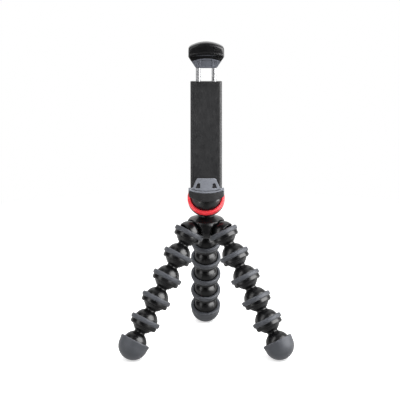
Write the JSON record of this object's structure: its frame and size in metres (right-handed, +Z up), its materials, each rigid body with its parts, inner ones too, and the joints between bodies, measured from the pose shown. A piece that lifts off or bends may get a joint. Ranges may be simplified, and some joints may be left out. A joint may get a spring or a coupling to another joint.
{
  "type": "phone tripod",
  "caption": "Pocket tripod with bendable ball-jointed legs, rubber-ringed sockets and feet, and a sprung clamp for a phone on a tilting head.",
  "frame": {"origin": "on the floor, under the middle of the box that the object fills, between the three feet", "axes": "+Z up, -Y the side that the phone's screen faces, X across the jaws"},
  "size_m": [0.0898, 0.0798, 0.1621],
  "materials": {
    "gloss_black": "polished moulded plastic, near black",
    "matte_black": "fine spark-eroded moulding, near black",
    "grey_rubber": "matte soft-touch rubber, slate grey",
    "pad_rubber": "matte rubber, a little lighter grey",
    "red_rubber": "satin red rubber",
    "bright_steel": "ground stainless bar",
    "screw_steel": "zinc-plated steel"
  },
  "bodies": {
    "hub": {"hub": "gloss_black"},
    "head_socket": {"head_socket": "gloss_black", "head_ring": "red_rubber", "swivel_screw": "screw_steel"},
    "clamp": {"head_ball": "gloss_black", "lower_jaw": "matte_black", "lower_pad": "pad_rubber", "rear_cover": "matte_black", "cover_screws": "screw_steel", "rod_guide": "matte_black", "left_spring": "screw_steel", "right_spring": "screw_steel"},
    "sliding_jaw": {"upper_jaw": "gloss_black", "upper_cover": "matte_black", "upper_screw": "screw_steel", "rod_anchor": "matte_black", "upper_pad": "pad_rubber", "left_rod": "bright_steel", "right_rod": "bright_steel", "crossbar": "matte_black"},
    "left_leg_1": {"left_link_1": "gloss_black", "left_ring_1": "grey_rubber"},
    "left_leg_2": {"left_link_2": "gloss_black", "left_ring_2": "grey_rubber"},
    "left_leg_3": {"left_link_3": "gloss_black", "left_ring_3": "grey_rubber"},
    "left_leg_4": {"left_link_4": "gloss_black", "left_ring_4": "grey_rubber"},
    "left_leg_5": {"left_link_5": "gloss_black", "left_ring_5": "grey_rubber"},
    "left_foot": {"left_foot_socket": "gloss_black", "left_foot_cap": "grey_rubber"},
    "right_leg_1": {"right_link_1": "gloss_black", "right_ring_1": "grey_rubber"},
    "right_leg_2": {"right_link_2": "gloss_black", "right_ring_2": "grey_rubber"},
    "right_leg_3": {"right_link_3": "gloss_black", "right_ring_3": "grey_rubber"},
    "right_leg_4": {"right_link_4": "gloss_black", "right_ring_4": "grey_rubber"},
    "right_leg_5": {"right_link_5": "gloss_black", "right_ring_5": "grey_rubber"},
    "right_foot": {"right_foot_socket": "gloss_black", "right_foot_cap": "grey_rubber"},
    "rear_leg_1": {"rear_link_1": "gloss_black", "rear_ring_1": "grey_rubber"},
    "rear_leg_2": {"rear_link_2": "gloss_black", "rear_ring_2": "grey_rubber"},
    "rear_leg_3": {"rear_link_3": "gloss_black", "rear_ring_3": "grey_rubber"},
    "rear_leg_4": {"rear_link_4": "gloss_black", "rear_ring_4": "grey_rubber"},
    "rear_leg_5": {"rear_link_5": "gloss_black", "rear_ring_5": "grey_rubber"},
    "rear_foot": {"rear_foot_socket": "gloss_black", "rear_foot_cap": "grey_rubber"}
  },
  "joints": [
    {"name": "head_pan", "type": "hinge", "parent": "hub", "child": "head_socket", "pos_m": [0, -0.01057, 0.07024], "axis": [0, 0, 1], "continuous": true},
    {"name": "head_tilt", "type": "hinge", "parent": "head_socket", "child": "clamp", "pos_m": [0, -0.01057, 0.07954], "axis": [1, 0, 0], "range_deg": [-40, 30]},
    {"name": "jaw_slide", "type": "slide", "parent": "clamp", "child": "sliding_jaw", "axis": [0, 0.1736, 0.9848], "range_m": [-0.0111, 0.0239], "stiffness_N_per_m": 120, "deforming": ["left_spring", "right_spring"]},
    {"name": "left_bend_1", "type": "hinge", "parent": "hub", "child": "left_leg_1", "pos_m": [-0.00875, -0.01562, 0.06254], "axis": [-0.5, 0.866, 0], "range_deg": [-6, 54]},
    {"name": "left_bend_2", "type": "hinge", "parent": "left_leg_1", "child": "left_leg_2", "pos_m": [-0.01432, -0.01884, 0.05183], "axis": [-0.7423, -0.4286, 0.515], "range_deg": [-30, 30]},
    {"name": "left_bend_3", "type": "hinge", "parent": "left_leg_2", "child": "left_leg_3", "pos_m": [-0.0199, -0.02206, 0.04111], "axis": [-0.5, 0.866, 0], "range_deg": [-30, 30]},
    {"name": "left_bend_4", "type": "hinge", "parent": "left_leg_3", "child": "left_leg_4", "pos_m": [-0.02547, -0.02528, 0.0304], "axis": [-0.7423, -0.4286, 0.515], "range_deg": [-30, 30]},
    {"name": "left_bend_5", "type": "hinge", "parent": "left_leg_4", "child": "left_leg_5", "pos_m": [-0.03105, -0.0285, 0.01969], "axis": [-0.5, 0.866, 0], "range_deg": [-30, 30]},
    {"name": "left_bend_6", "type": "hinge", "parent": "left_leg_5", "child": "left_foot", "pos_m": [-0.03662, -0.03172, 0.00897], "axis": [-0.7423, -0.4286, 0.515], "range_deg": [-30, 30]},
    {"name": "right_bend_1", "type": "hinge", "parent": "hub", "child": "right_leg_1", "pos_m": [0.00875, -0.01562, 0.06254], "axis": [-0.5, -0.866, 0], "range_deg": [-6, 54]},
    {"name": "right_bend_2", "type": "hinge", "parent": "right_leg_1", "child": "right_leg_2", "pos_m": [0.01432, -0.01884, 0.05183], "axis": [0.7423, -0.4286, 0.515], "range_deg": [-30, 30]},
    {"name": "right_bend_3", "type": "hinge", "parent": "right_leg_2", "child": "right_leg_3", "pos_m": [0.0199, -0.02206, 0.04111], "axis": [-0.5, -0.866, 0], "range_deg": [-30, 30]},
    {"name": "right_bend_4", "type": "hinge", "parent": "right_leg_3", "child": "right_leg_4", "pos_m": [0.02547, -0.02528, 0.0304], "axis": [0.7423, -0.4286, 0.515], "range_deg": [-30, 30]},
    {"name": "right_bend_5", "type": "hinge", "parent": "right_leg_4", "child": "right_leg_5", "pos_m": [0.03105, -0.0285, 0.01969], "axis": [-0.5, -0.866, 0], "range_deg": [-30, 30]},
    {"name": "right_bend_6", "type": "hinge", "parent": "right_leg_5", "child": "right_foot", "pos_m": [0.03662, -0.03172, 0.00897], "axis": [0.7423, -0.4286, 0.515], "range_deg": [-30, 30]},
    {"name": "rear_bend_1", "type": "hinge", "parent": "hub", "child": "rear_leg_1", "pos_m": [0, -0.00047, 0.06254], "axis": [1, 0, 0], "range_deg": [-6, 54]},
    {"name": "rear_bend_2", "type": "hinge", "parent": "rear_leg_1", "child": "rear_leg_2", "pos_m": [0, 0.00597, 0.05183], "axis": [0, 0.8572, 0.515], "range_deg": [-30, 30]},
    {"name": "rear_bend_3", "type": "hinge", "parent": "rear_leg_2", "child": "rear_leg_3", "pos_m": [0, 0.0124, 0.04111], "axis": [1, 0, 0], "range_deg": [-30, 30]},
    {"name": "rear_bend_4", "type": "hinge", "parent": "rear_leg_3", "child": "rear_leg_4", "pos_m": [0, 0.01884, 0.0304], "axis": [0, 0.8572, 0.515], "range_deg": [-30, 30]},
    {"name": "rear_bend_5", "type": "hinge", "parent": "rear_leg_4", "child": "rear_leg_5", "pos_m": [0, 0.02528, 0.01969], "axis": [1, 0, 0], "range_deg": [-30, 30]},
    {"name": "rear_bend_6", "type": "hinge", "parent": "rear_leg_5", "child": "rear_foot", "pos_m": [0, 0.03172, 0.00897], "axis": [0, 0.8572, 0.515], "range_deg": [-30, 30]}
  ]
}
